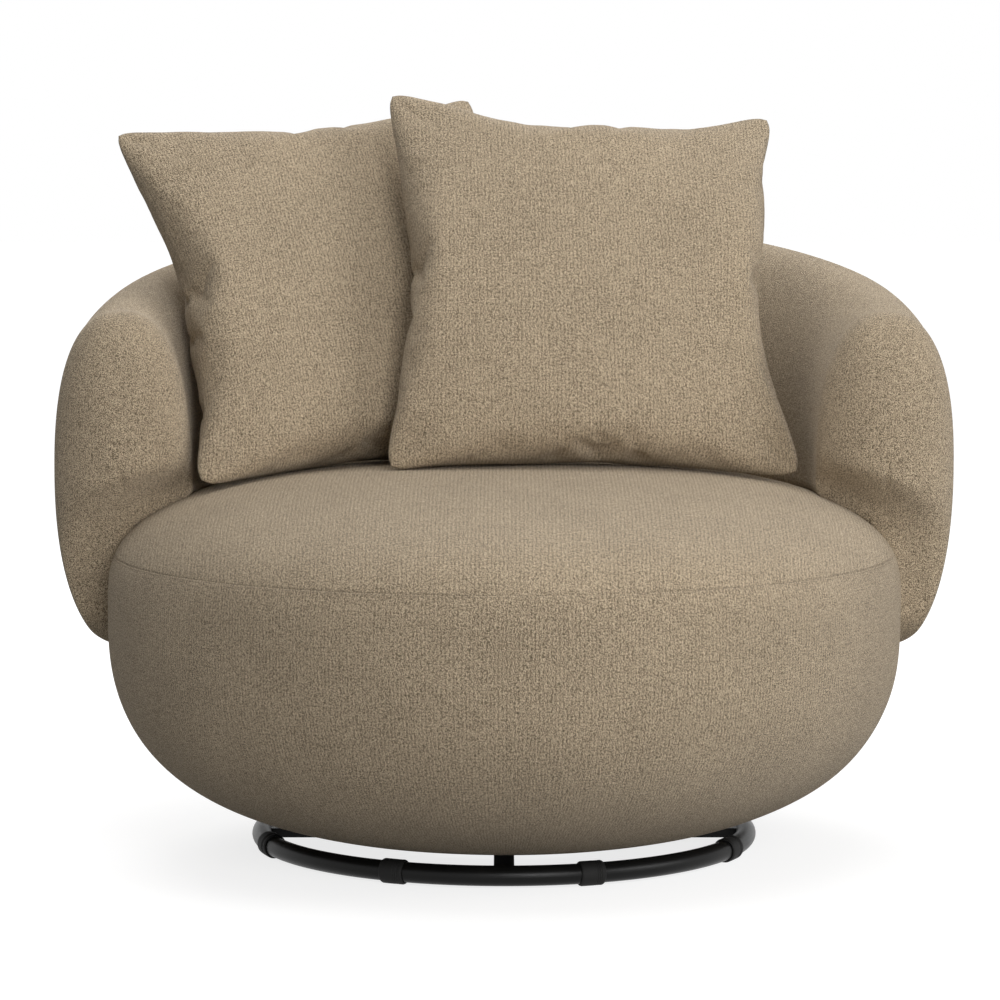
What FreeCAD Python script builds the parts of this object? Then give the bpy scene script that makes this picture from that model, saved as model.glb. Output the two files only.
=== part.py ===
import FreeCAD, Part
import math
import os

# Swivel armchair: a round seat drum on a tube ring, wrapped by a horseshoe back.
# Millimetres. Origin on the floor under the swivel axis, +Z up, the front faces -Y.

V = FreeCAD.Vector
UP = V(0, 0, 1)

# Base ring of bent tube, with its cross bars and the rubber sleeves it stands on
ring_radius = 311.0
tube_diameter = 25.0
sleeve_wall = 2.6
sleeve_length = 30.0
sleeve_count = 8
sleeve_first_angle = 19.7
sleeve_flat = 0.3
bar_width = 25.0
bar_height = 12.0
bar_wall = 1.5
bar_bottom = 7.6

# Ball bearing swivel between the base and the seat
plate_radius = 125.0
plate_thickness = 4.0
plate_hole_radius = 30.0
ball_circle_radius = 107.0
ball_diameter = 8.0
ball_count = 8
groove_depth = 2.6
cage_width = 15.0
cage_thickness = 2.4
swivel_bolt_diameter = 6.0
lower_bolt_circle = 75.0
upper_bolt_circle = 89.0
bolt_head_diameter = 10.5
bolt_head_height = 3.0
nut_width = 10.0
nut_height = 5.0
access_hole_diameter = 14.0
tee_flange_diameter = 17.0
tee_flange_thickness = 1.5
tee_wall = 1.2

# Seat drum: a round of superelliptic section, a little forward of the swivel axis
seat_forward = 35.0
seat_radius = 502.0
seat_widest_height = 321.0
seat_crest_height = 489.0
seat_lowest_height = 19.9
seat_lower_fullness = 2.83
seat_upper_fullness = 2.88
seat_seam_height = 381.0
cover_thickness = 2.0
side_foam_thickness = 55.0

# Wooden seat frame
board_thickness = 18.0
board_radius = 190.0
rib_thickness = 18.0
rib_depth = 70.0
rib_inner_radius = 72.0
rib_count = 8
rib_top_height = 335.0
webbing_width = 50.0
webbing_thickness = 2.0
webbing_pitch = 125.0
webbing_strap_count = 5
dust_cover_thickness = 1.0
dust_cover_setback = 2.0

# Horseshoe back: a superelliptic section carried round the seat
back_thickness = 175.0
back_widest_height = 485.0
back_lowest_height = 259.0
arm_top_height = 686.0
back_top_height = 790.0
back_upper_fullness = 2.39
back_lower_fullness = 2.19
back_lean = 5.8
arm_reach = 58.0
back_seam_setback = 18.0

# Frame inside the back
frame_clearance = 5.5
outer_foam_depth = 49.5
post_thickness = 12.0
post_width = 44.0
post_count = 5
frame_end_angle = 4.0
outer_foam_end_angle = 3.0
rail_height = 18.0
top_rail_height = 600.0
panel_thickness = 3.0
back_strap_first_height = 505.0
back_strap_pitch = 32.0
back_strap_width = 26.0
back_strap_count = 3
back_bolt_diameter = 6.0
back_bolt_length = 122.0
back_bolt_height = 324.0
back_bolt_head_diameter = 15.0
back_bolt_head_height = 2.6
back_bolt_hole_depth = 2.0
barrel_nut_diameter = 11.0
barrel_nut_recess = 2.0
barrel_nut_setback = 28.0

# Loose scatter cushions, 500 square and 155 thick: crowned, sides drawn in between the
# corners. Sizes and places are shares of the radius inside the back, from the seat's axis.
cushion_width_share = 1.25945
cushion_thickness_share = 0.39043
cushion_draw_in_share = 0.04282
cushion_crown_fullness = 0.8
cushion_cover_thickness = 1.5
right_cushion_place = (0.30605, -0.04912)
right_cushion_lean = 22.5
right_cushion_yaw = 8.0
right_cushion_roll = -1.9
left_cushion_place = (-0.43451, 0.10705)
left_cushion_lean = 25.8
left_cushion_yaw = 26.0
left_cushion_roll = 2.6

# Clearances
fit_gap = 0.1
running_gap = 0.3
soft_gap = 0.4

# How finely the soft forms are laid out. A cover's outside has fine chords, two to each
# chord of its inside and of the foams, so that nested outlines never cross.
fine_count = 2
coarse_count = 1
seat_lower_band_count = 4
seat_upper_band_count = 4
rib_band_count = 3
back_station_count = 22
back_point_count = 12
nose_steps = (0.45, 0.76, 0.93, 0.99)
cushion_rises = (0, 22, 45, 66, 83)
cushion_side_chord_count = 6

# Heights that follow from the sizes above
tube_radius = tube_diameter / 2
tube_bow = sleeve_length ** 2 / (8 * ring_radius)
sleeve_bore = tube_radius + tube_bow / 2 + fit_gap
sleeve_radius = sleeve_bore + sleeve_wall
tube_height = sleeve_radius - sleeve_flat
bar_top = bar_bottom + bar_height
ball_radius = ball_diameter / 2
lower_plate_top = bar_top + plate_thickness
ball_seat_drop = math.sqrt(2) * (ball_radius + fit_gap)
ball_height = lower_plate_top - groove_depth + ball_seat_drop
upper_plate_bottom = ball_height + ball_seat_drop - groove_depth
upper_plate_top = upper_plate_bottom + plate_thickness
board_top = upper_plate_top + board_thickness
ring_top_height = rib_top_height + board_thickness
foam_split_height = ring_top_height + 2 * webbing_thickness + 2 * fit_gap + soft_gap
bottom_rail_height = back_bolt_height - rail_height / 2
seat_axis = V(0, -seat_forward, 0)

# Radii of the back, outwards from the seat, and the cushions that fill the room inside it
frame_inner_radius = seat_radius + frame_clearance
panel_inner_radius = frame_inner_radius + post_thickness
panel_outer_radius = panel_inner_radius + panel_thickness
back_radius = panel_outer_radius + outer_foam_depth
back_centre_radius = back_radius - back_thickness / 2
back_inner_radius = back_radius - back_thickness
cushion_width = cushion_width_share * back_inner_radius
cushion_thickness = cushion_thickness_share * back_inner_radius
cushion_draw_in = cushion_draw_in_share * back_inner_radius


def polygon_face(points):
    return Part.Face(Part.makePolygon(points + points[:1]))


def profile_face(outline):
    """Face in the XZ plane from (radius, height) pairs."""
    return polygon_face([V(r, 0, z) for r, z in outline])


def turned(outline, angle=360.0, start=0.0, axis=V(0, 0, 0)):
    """The outline of (radius, height) pairs turned about a vertical axis."""
    solid = profile_face(outline).revolve(V(0, 0, 0), UP, angle)
    solid.rotate(V(0, 0, 0), UP, start)
    solid.translate(axis)
    return solid


def ring_box(inner, outer, low, high, angle=360.0, start=0.0, axis=V(0, 0, 0)):
    return turned([(inner, low), (outer, low), (outer, high), (inner, high)], angle, start, axis)


def disc(radius, low, high, at=V(0, 0, 0)):
    return Part.makeCylinder(radius, high - low, at + V(0, 0, low))


def polar(radius, degrees, height=0.0, axis=V(0, 0, 0)):
    a = math.radians(degrees)
    return axis + V(radius * math.cos(a), radius * math.sin(a), height)


def cut_all(solid, tools):
    for tool in tools:
        solid = solid.cut(tool)
    return solid


def hexagon(width, low, high, at):
    reach = width / math.sqrt(3)
    corners = [polar(reach, 60 * k, low, at) for k in range(6)]
    return polygon_face(corners).extrude(V(0, 0, high - low))


def lower_bolt_places():
    return [polar(lower_bolt_circle, 90 * k) for k in range(4)]


def upper_bolt_places():
    return [polar(upper_bolt_circle, 45 + 90 * k) for k in range(4)]


# Base

def ring_torus(radius):
    return Part.makeTorus(ring_radius, radius, V(0, 0, tube_height), UP)


def base_ring():
    return ring_torus(tube_radius)


def glide(number):
    """Straight rubber sleeve over the bent tube, its underside flat on the floor."""
    angle = sleeve_first_angle + 360.0 / sleeve_count * number
    outward = polar(1, angle)
    along = polar(1, angle + 90)
    middle = outward * (ring_radius - tube_bow / 2) + V(0, 0, tube_height)
    start = middle - along * (sleeve_length / 2)
    sleeve = Part.makeCylinder(sleeve_radius, sleeve_length, start, along)
    bore = Part.makeCylinder(sleeve_bore, sleeve_length, start, along)
    reach = ring_radius + tube_diameter
    floor = Part.makeBox(2 * reach, 2 * reach, tube_diameter, V(-reach, -reach, -tube_diameter))
    return cut_all(sleeve, [bore, floor])


def cross_bar(inner_end, degrees):
    """Flat tube from inner_end out to the ring, coped to fit round the ring's tube."""
    length = ring_radius - inner_end
    outside = Part.makeBox(length, bar_width, bar_height, V(inner_end, -bar_width / 2, bar_bottom))
    inside = Part.makeBox(length, bar_width - 2 * bar_wall, bar_height - 2 * bar_wall,
                          V(inner_end, -bar_width / 2 + bar_wall, bar_bottom + bar_wall))
    bar = outside.cut(inside)
    bar.rotate(V(0, 0, 0), UP, degrees)
    return bar


def bolted_bar(bar):
    holes = [disc(swivel_bolt_diameter / 2 + running_gap, 0, bar_top + 1, at)
             for at in lower_bolt_places()]
    return cut_all(bar, [ring_torus(tube_radius + fit_gap)] + holes)


def cross_bar_long():
    return bolted_bar(cross_bar(0, 0).fuse(cross_bar(0, 180)).removeSplitter())


def cross_bar_short(degrees):
    return bolted_bar(cross_bar(bar_width / 2 + fit_gap, degrees))


def lower_bolt(at):
    """Button head above the lower plate, shank down through the bar to its nut."""
    head = disc(bolt_head_diameter / 2, lower_plate_top, lower_plate_top + bolt_head_height, at)
    shank = disc(swivel_bolt_diameter / 2, bar_bottom - nut_height, lower_plate_top, at)
    return head.fuse(shank)


def lower_nut(at):
    nut = hexagon(nut_width, bar_bottom - nut_height, bar_bottom, at)
    return nut.cut(disc(swivel_bolt_diameter / 2 + fit_gap, 0, bar_bottom, at))


# Swivel bearing

def grooved_plate(face, back):
    """Flat ring with a V groove for the balls in the face towards them."""
    drop = math.copysign(groove_depth, back - face)
    groove = [(ball_circle_radius + groove_depth, face), (ball_circle_radius, face + drop),
              (ball_circle_radius - groove_depth, face)]
    rim = [(plate_hole_radius, face), (plate_hole_radius, back), (plate_radius, back),
           (plate_radius, face)]
    return turned(rim + groove)


def swivel_lower_plate():
    bolt_holes = [disc(swivel_bolt_diameter / 2 + running_gap, 0, ball_height, at)
                  for at in lower_bolt_places()]
    access = [disc(access_hole_diameter / 2, 0, ball_height, at) for at in upper_bolt_places()]
    return cut_all(grooved_plate(lower_plate_top, bar_top), bolt_holes + access)


def swivel_upper_plate():
    holes = [disc(swivel_bolt_diameter / 2 + running_gap, 0, board_top, at)
             for at in upper_bolt_places()]
    return cut_all(grooved_plate(upper_plate_bottom, upper_plate_top), holes)


def ball_places():
    return [polar(ball_circle_radius, 360.0 / ball_count * (k + 0.5), ball_height)
            for k in range(ball_count)]


def ball_cage():
    """Flat ring half way up the balls, with a window round each."""
    inner = ball_circle_radius - cage_width / 2
    cage = ring_box(inner, inner + cage_width, ball_height - cage_thickness / 2,
                    ball_height + cage_thickness / 2)
    windows = [disc(ball_radius + running_gap, -cage_thickness, cage_thickness, at)
               for at in ball_places()]
    return cut_all(cage, windows)


def upper_bolt(at):
    """Button head under the upper plate, shank up into the tee nut."""
    head = disc(bolt_head_diameter / 2, upper_plate_bottom - bolt_head_height,
                upper_plate_bottom, at)
    return head.fuse(disc(swivel_bolt_diameter / 2, upper_plate_bottom, board_top, at))


def tee_nut(at):
    """Flange on the board, barrel down inside it round the bolt."""
    bore = swivel_bolt_diameter / 2 + fit_gap
    flange = disc(tee_flange_diameter / 2, board_top, board_top + tee_flange_thickness, at)
    barrel = disc(bore + tee_wall, board_top - board_thickness / 2, board_top, at)
    return flange.fuse(barrel).cut(disc(bore, 0, board_top + tee_flange_thickness, at))


# Seat outline, shared by the cover, the foam and the ribs

def seat_point(turn, inset):
    """Point of the seat's outline: turn runs -90 at the bottom, 0 widest, 90 at the crest."""
    a = math.radians(turn)
    if turn < 0:
        fullness = seat_lower_fullness
        half_height = seat_widest_height - seat_lowest_height - inset
    else:
        fullness = seat_upper_fullness
        half_height = seat_crest_height - seat_widest_height - inset
    across = max(math.cos(a), 0.0) ** (2 / fullness)
    along = math.copysign(abs(math.sin(a)) ** (2 / fullness), a)
    return (seat_radius - inset) * across, seat_widest_height + half_height * along


def turn_at_radius(radius, inset):
    share = min(radius / (seat_radius - inset), 1.0)
    return -math.degrees(math.acos(share ** (seat_lower_fullness / 2)))


def turn_at_height(height, inset):
    """The outline's turn at a height, above or below the widest level."""
    rise = height - seat_widest_height
    if rise < 0:
        share = -rise / (seat_widest_height - seat_lowest_height - inset)
        return -math.degrees(math.asin(share ** (seat_lower_fullness / 2)))
    share = rise / (seat_crest_height - seat_widest_height - inset)
    return math.degrees(math.asin(share ** (seat_upper_fullness / 2)))


def spread(first, last, bands):
    return [first + (last - first) * k / bands for k in range(bands + 1)]


def split_turn():
    return turn_at_height(foam_split_height, 0)


def seat_outline(turns, inset):
    return [seat_point(turn, inset) for turn in turns]


def seat_side(first_radius, inset, chords):
    """Outline from under the base board out to the widest level and up to the foam split."""
    start = turn_at_radius(first_radius, inset)
    turns = spread(start, 0, seat_lower_band_count * chords) + [split_turn()]
    return seat_outline(turns, inset)


def seat_crown(first_height, inset, chords):
    """Outline from the seam, or a little above it, over to the crest."""
    turns = spread(turn_at_height(first_height, 0), 90, seat_upper_band_count * chords)
    return seat_outline(turns, inset)


def seat_skin(outer, inner):
    """Cover panel between two outlines that run the same way."""
    return turned(outer + inner[::-1], axis=seat_axis)


def seat_body(grow):
    """The whole seat drum grown by a clearance, to cut the back to it."""
    low = seat_side(board_radius, -grow, fine_count)
    high = seat_crown(seat_seam_height, -grow, fine_count)
    return turned([(0, low[0][1])] + low + high, axis=seat_axis)


def back_bolt_holes(radius):
    """Radial bores, from the seat frame out through the back's posts."""
    length = back_bolt_length + back_thickness
    bores = []
    for k in range(post_count):
        outward = polar(1, post_angle(k))
        start = polar(panel_inner_radius - back_bolt_length - back_bolt_hole_depth,
                      post_angle(k), back_bolt_height, seat_axis)
        bores.append(Part.makeCylinder(radius, length, start, outward))
    return bores


def seat_cover_band():
    """Side band of the cover, from under the base board up to the seam."""
    rings = []
    for inset, chords in ((0, fine_count), (cover_thickness, coarse_count)):
        seam = seat_crown(seat_seam_height, inset, coarse_count)[0]
        rings.append(seat_side(board_radius, inset, chords) + [seam])
    return cut_all(seat_skin(*rings), back_bolt_holes(back_bolt_diameter / 2 + running_gap))


def seat_cover_top():
    """Round top panel of the cover, from the seam up over the crown."""
    first = seat_seam_height + fit_gap
    return seat_skin(seat_crown(first, 0, fine_count), seat_crown(first, cover_thickness, coarse_count))


def seat_foam_top():
    inset = cover_thickness + soft_gap
    edge = seat_side(board_radius, inset, coarse_count)[-1][0]
    crown = seat_crown(seat_seam_height, inset, coarse_count)
    return turned([(0, foam_split_height), (edge, foam_split_height)] + crown, axis=seat_axis)


def seat_foam_side():
    """Foam wrapped round the ribs, from the base board's edge up to the top foam."""
    inset = cover_thickness + soft_gap
    rib_inset = inset + side_foam_thickness - soft_gap
    outer = seat_side(board_radius + soft_gap, inset, coarse_count)
    inner = seat_outline(spread(rib_foot_turn(rib_inset), 0, rib_band_count), rib_inset)
    inner_wall = inner + [(inner[-1][0], outer[-1][1])]
    ledge = [(board_radius + soft_gap, board_top)]
    foam = turned(outer + inner_wall[::-1] + ledge, axis=seat_axis)
    return cut_all(foam, back_bolt_holes(back_bolt_diameter / 2 + running_gap))


# Seat frame

def rib_foot_turn(inset):
    return turn_at_radius(board_radius + side_foam_thickness, inset)


def seat_base_board():
    board = disc(board_radius, upper_plate_top, board_top, seat_axis)
    holes = []
    for at in upper_bolt_places():
        bore = swivel_bolt_diameter / 2 + fit_gap
        holes.append(disc(bore, 0, board_top, at))
        holes.append(disc(bore + tee_wall + fit_gap, board_top - board_thickness / 2,
                          board_top, at))
    return cut_all(board, holes)


def seat_rib(number):
    """Plywood upright like a boat's frame, from the base board out to the top ring."""
    inset = cover_thickness + side_foam_thickness + soft_gap
    outer = seat_outline(spread(rib_foot_turn(inset), 0, rib_band_count), inset)
    inner_inset = inset + rib_depth
    inner_foot = turn_at_radius(rib_inner_radius, inner_inset)
    inner = seat_outline(spread(inner_foot, 0, rib_band_count), inner_inset)
    outline = [(rib_inner_radius, board_top), (board_radius, board_top)] + outer
    outline += [(outer[-1][0], rib_top_height), (inner[-1][0], rib_top_height)] + inner[::-1]
    rib = profile_face(outline).extrude(V(0, rib_thickness, 0))
    rib.translate(V(0, -rib_thickness / 2, 0))
    rib.rotate(V(0, 0, 0), UP, 360.0 / rib_count * number)
    rib.translate(seat_axis)
    nut_holes = [cross_hole(k, barrel_nut_diameter / 2 + fit_gap, rib_thickness)
                 for k in range(post_count)]
    return cut_all(rib, back_bolt_holes(back_bolt_diameter / 2 + fit_gap) + nut_holes)


def rib_rim_radius():
    return seat_radius - cover_thickness - side_foam_thickness - soft_gap


def seat_top_ring():
    outer = rib_rim_radius()
    return ring_box(outer - rib_depth, outer, rib_top_height, ring_top_height, axis=seat_axis)


def strap(number, layer):
    """Elastic strap across the top ring, as long as its chord allows."""
    offset = webbing_pitch * (number - (webbing_strap_count - 1) / 2)
    edge = abs(offset) + webbing_width / 2
    half = math.sqrt(rib_rim_radius() ** 2 - edge ** 2) - webbing_thickness
    low = ring_top_height + layer * (webbing_thickness + fit_gap)
    return Part.makeBox(2 * half, webbing_width, webbing_thickness,
                        V(-half, offset - webbing_width / 2, low))


def webbing(layer, degrees):
    straps = [strap(k, layer) for k in range(webbing_strap_count)]
    group = Part.makeCompound(straps)
    group.rotate(V(0, 0, 0), UP, degrees)
    group.translate(seat_axis)
    return group


def seat_dust_cover():
    """Thin sheet under the board, open round the swivel."""
    sheet = disc(board_radius - dust_cover_setback, upper_plate_top - dust_cover_thickness,
                 upper_plate_top, seat_axis)
    return sheet.cut(disc(plate_radius + running_gap, 0, board_top))


# Back section and its stations, shared by the cover and the foam

def back_section(points, inset, top, width_share=1.0, height_share=1.0):
    """Closed oval of (offset from the wall's middle, height), widest at one level."""
    outline = []
    for k in range(points):
        a = 2 * math.pi * k / points
        fullness = back_upper_fullness if math.sin(a) >= 0 else back_lower_fullness
        reach = top if math.sin(a) >= 0 else 2 * back_widest_height - back_lowest_height
        half_width = (back_thickness / 2 - inset) * width_share
        half_height = (reach - back_widest_height - inset) * height_share
        across = math.copysign(abs(math.cos(a)) ** (2 / fullness), math.cos(a))
        along = math.copysign(abs(math.sin(a)) ** (2 / fullness), math.sin(a))
        outline.append((half_width * across, back_widest_height + half_height * along))
    return outline


def arm_end_angle():
    return -math.degrees(math.asin((arm_reach - seat_forward) / back_centre_radius))


def back_station(degrees, ahead, section):
    """The section set across the horseshoe at a plan angle, or ahead of an arm's end."""
    a = math.radians(degrees)
    rearward = max(math.sin(a), 0.0)
    lean = math.tan(math.radians(back_lean)) * rearward
    along = V(math.sin(a), -math.cos(a), 0) * ahead
    points = []
    for offset, height in section:
        radius = back_centre_radius + offset + (height - back_widest_height) * lean
        points.append(V(radius * math.cos(a), radius * math.sin(a), height) + along)
    wire = Part.makePolygon(points + points[:1])
    wire.translate(seat_axis)
    return wire


def back_top_at(degrees):
    rearward = max(math.sin(math.radians(degrees)), 0.0)
    return arm_top_height + (back_top_height - arm_top_height) * rearward


def nose_stations(degrees, direction, points, inset):
    """Sections that shrink towards the arm's rounded front end."""
    stations = []
    for step in nose_steps:
        width_share = math.sqrt(1 - step ** 2)
        height_share = (1 - step ** back_upper_fullness) ** (1 / back_upper_fullness)
        section = back_section(points, inset, arm_top_height, width_share, height_share)
        ahead = direction * (back_thickness / 2 - inset) * step
        stations.append(back_station(degrees, ahead, section))
    return stations


def back_body(chords, inset):
    """The whole horseshoe inset by a thickness, as a ruled loft through its stations."""
    points = back_point_count * chords
    first = arm_end_angle()
    span = 180 - 2 * first
    middle = []
    for k in range(back_station_count + 1):
        degrees = first + span * k / back_station_count
        middle.append(back_station(degrees, 0, back_section(points, inset, back_top_at(degrees))))
    right_nose = nose_stations(first, 1, points, inset)
    left_nose = nose_stations(first + span, -1, points, inset)
    wires = right_nose[::-1] + middle + left_nose
    return Part.makeLoft(wires, True, True)


def beside_seat(solid):
    return solid.cut(seat_body(soft_gap))


def back_cover():
    inner = back_body(coarse_count, cover_thickness)
    return beside_seat(back_body(fine_count, 0).cut(inner))


def seam_boundary(gap):
    """Seam surface of the cover: upright behind the crest, slanting in under the bottom."""
    seam_radius = back_radius - back_seam_setback + gap
    outline = [(0, 0), (back_centre_radius / 2 + gap, 0), (seam_radius, back_widest_height),
               (seam_radius, 2 * back_top_height), (0, 2 * back_top_height)]
    return turned(outline, axis=seat_axis)


def frame_zone(inner, outer, low, high):
    """Part of a ring round the seat, over the arc that the back's frame fills."""
    return ring_box(inner, outer, low, high, 180 + 2 * frame_end_angle, -frame_end_angle,
                    seat_axis)


def back_foam_inside():
    """Thick foam before and over the frame, full at the arms' noses."""
    foam = back_body(coarse_count, cover_thickness + soft_gap)
    behind = frame_zone(frame_inner_radius - webbing_thickness - 2 * soft_gap,
                        back_radius + back_thickness, 0, top_rail_height + rail_height + soft_gap)
    bolts = back_bolt_holes(back_bolt_diameter / 2 + running_gap)
    return cut_all(beside_seat(foam.cut(behind)), bolts)


def back_foam_outside():
    """Thinner foam behind the frame and under its bottom rail."""
    foam = back_body(coarse_count, cover_thickness + soft_gap)
    behind = ring_box(frame_inner_radius - soft_gap, back_radius + back_thickness, 0,
                      top_rail_height + rail_height, 180 + 2 * outer_foam_end_angle,
                      -outer_foam_end_angle, seat_axis)
    slot = frame_zone(0, panel_outer_radius + back_bolt_head_height + soft_gap,
                      bottom_rail_height - soft_gap, 2 * top_rail_height)
    return beside_seat(foam.common(behind).cut(slot))


# Back frame

def post_angle(number):
    return 180.0 / (post_count - 1) * number


def back_rail(low):
    return frame_zone(frame_inner_radius, panel_inner_radius, low, low + rail_height)


def back_bottom_rail():
    """Rail bored for the bolts into the seat frame."""
    return cut_all(back_rail(bottom_rail_height),
                   back_bolt_holes(back_bolt_diameter / 2 + fit_gap))


def back_post(number):
    """Upright between the two rails."""
    half_angle = math.degrees(post_width / 2 / frame_inner_radius)
    return ring_box(frame_inner_radius, panel_inner_radius, bottom_rail_height + rail_height,
                    top_rail_height, 2 * half_angle, post_angle(number) - half_angle, seat_axis)


def back_panel():
    """Bent hardboard on the outside of the posts."""
    return frame_zone(panel_inner_radius, panel_outer_radius,
                      bottom_rail_height + rail_height, top_rail_height + rail_height)


def back_straps():
    """Elastic straps round the inside of the posts."""
    straps = []
    for k in range(back_strap_count):
        low = back_strap_first_height + back_strap_pitch * k
        straps.append(frame_zone(frame_inner_radius - webbing_thickness - fit_gap,
                                 frame_inner_radius - fit_gap, low, low + back_strap_width))
    return Part.makeCompound(straps)


def back_bolt(number):
    """Round-headed bolt from the bottom rail's outside into its barrel nut."""
    outward = polar(1, post_angle(number))
    tip = polar(panel_inner_radius - back_bolt_length, post_angle(number),
                back_bolt_height, seat_axis)
    shank = Part.makeCylinder(back_bolt_diameter / 2, back_bolt_length, tip, outward)
    under_head = polar(panel_inner_radius, post_angle(number), back_bolt_height, seat_axis)
    head = Part.makeCylinder(back_bolt_head_diameter / 2, back_bolt_head_height,
                             under_head, outward)
    return shank.fuse(head)


def cross_hole(number, radius, length):
    """Cylinder across a rib, centred on the bolt's axis."""
    middle = polar(rib_rim_radius() - barrel_nut_setback, post_angle(number),
                   back_bolt_height, seat_axis)
    sideways = polar(1, post_angle(number) + 90)
    return Part.makeCylinder(radius, length, middle - sideways * (length / 2), sideways)


def barrel_nut(number):
    """Cross dowel that lies through the rib's thickness, round the bolt."""
    length = rib_thickness - 2 * barrel_nut_recess
    nut = cross_hole(number, barrel_nut_diameter / 2, length)
    return cut_all(nut, back_bolt_holes(back_bolt_diameter / 2 + fit_gap))


# Cushions

def cushion_outline(half):
    """Corner to corner along four sides, each drawn in by a parabola."""
    points = []
    for k in range(4):
        for j in range(cushion_side_chord_count):
            share = 2.0 * j / cushion_side_chord_count - 1
            point = V(half * share, cushion_draw_in * (1 - share ** 2) - half, 0)
            points.append(FreeCAD.Rotation(UP, 90.0 * k).multVec(point))
    return points


def flat_sided(rings):
    """Solid between rings of points, with a flat face for every pair of facing edges."""
    faces = [polygon_face(rings[0]), polygon_face(rings[-1])]
    for low, high in zip(rings, rings[1:]):
        for k in range(len(low)):
            faces.append(polygon_face([low[k - 1], low[k], high[k], high[k - 1]]))
    return Part.Solid(Part.Shell(faces))


def cushion_rings(side, inset):
    """Outlines of half a cushion lying flat: they shrink as they rise to the crown."""
    outline = cushion_outline(cushion_width / 2)
    width_share = 1 - 2 * inset / cushion_width
    rings = []
    for rise in cushion_rises:
        a = math.radians(rise)
        share = width_share * math.cos(a) ** cushion_crown_fullness
        height = side * (cushion_thickness / 2 - inset) * math.sin(a)
        rings.append([point * share + V(0, 0, height) for point in outline])
    return rings


def cushion_half(side, inset):
    return flat_sided(cushion_rings(side, inset))


def cushion_panel(side):
    return cushion_half(side, 0).cut(cushion_half(side, cushion_cover_thickness))


def cushion_filling():
    inset = cushion_cover_thickness + soft_gap
    return cushion_half(-1, inset).fuse(cushion_half(1, inset))


def crown_height(point):
    """Height of the seat's crown in line with a point, on the cover's chords."""
    radius = math.hypot(point.x - seat_axis.x, point.y - seat_axis.y)
    crown = seat_crown(seat_seam_height, 0, fine_count)
    for (far, low), (near, high) in zip(crown, crown[1:]):
        if near <= radius <= far:
            return high - (high - low) * (radius - near) / (far - near)
    return 0.0


def standing(place, lean, yaw, roll):
    """Where a flat cushion goes: its +Y side up, its -Z side in front, on the crown."""
    turn = FreeCAD.Rotation(UP, yaw).multiply(FreeCAD.Rotation(V(1, 0, 0), 90 - lean))
    turn = turn.multiply(FreeCAD.Rotation(UP, roll))
    half = cushion_width / 2 - cushion_draw_in
    back = FreeCAD.Rotation(UP, yaw).multVec(V(0, half * math.sin(math.radians(lean)), 0))
    shift = seat_axis + V(*place, 0) * back_inner_radius + back
    lowest = [turn.multVec(point) + shift
              for side in (-1, 1) for ring in cushion_rings(side, 0) for point in ring]
    rise = max(crown_height(point) - point.z for point in lowest) + soft_gap
    return FreeCAD.Placement(shift + UP * rise, turn)


def cushion_pieces():
    """The two cover panels and the filling of one cushion, lying flat."""
    return {"cover_front": cushion_panel(-1), "cover_back": cushion_panel(1),
            "filling": cushion_filling()}


# Write every node

def export(name, shape):
    shape.exportStep("parts/" + name + ".step")


def main():
    os.makedirs("parts", exist_ok=True)
    export("base_ring", base_ring())
    for k in range(sleeve_count):
        export("glide_%d" % (k + 1), glide(k))
    export("cross_bar_long", cross_bar_long())
    export("cross_bar_front", cross_bar_short(-90))
    export("cross_bar_rear", cross_bar_short(90))
    export("lower_bolts", Part.makeCompound([lower_bolt(at) for at in lower_bolt_places()]))
    export("lower_nuts", Part.makeCompound([lower_nut(at) for at in lower_bolt_places()]))

    export("swivel_lower_plate", swivel_lower_plate())
    export("swivel_upper_plate", swivel_upper_plate())
    export("ball_cage", ball_cage())
    balls = [Part.makeSphere(ball_radius, at) for at in ball_places()]
    export("bearing_balls", Part.makeCompound(balls))
    export("upper_bolts", Part.makeCompound([upper_bolt(at) for at in upper_bolt_places()]))
    export("tee_nuts", Part.makeCompound([tee_nut(at) for at in upper_bolt_places()]))

    export("seat_base_board", seat_base_board())
    for k in range(rib_count):
        export("seat_rib_%d" % (k + 1), seat_rib(k))
    export("seat_top_ring", seat_top_ring())
    export("webbing_lengthwise", webbing(0, 90))
    export("webbing_across", webbing(1, 0))
    export("seat_foam_top", seat_foam_top())
    export("seat_foam_side", seat_foam_side())
    export("seat_cover_top", seat_cover_top())
    export("seat_cover_band", seat_cover_band())
    export("seat_dust_cover", seat_dust_cover())

    export("back_bottom_rail", back_bottom_rail())
    export("back_top_rail", back_rail(top_rail_height))
    for k in range(post_count):
        export("back_post_%d" % (k + 1), back_post(k))
    export("back_panel", back_panel())
    export("back_straps", back_straps())
    export("back_bolts", Part.makeCompound([back_bolt(k) for k in range(post_count)]))
    export("barrel_nuts", Part.makeCompound([barrel_nut(k) for k in range(post_count)]))
    export("back_foam_inside", back_foam_inside())
    export("back_foam_outside", back_foam_outside())
    cover = back_cover()
    export("back_cover_inside", cover.common(seam_boundary(0)))
    export("back_cover_outside", cover.cut(seam_boundary(fit_gap)))

    places = {"left": standing(left_cushion_place, left_cushion_lean, left_cushion_yaw,
                               left_cushion_roll),
              "right": standing(right_cushion_place, right_cushion_lean, right_cushion_yaw,
                                right_cushion_roll)}
    for which, place in places.items():
        for name, piece in cushion_pieces().items():
            piece.Placement = place
            export("cushion_%s_%s" % (which, name), piece)


main()
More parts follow.
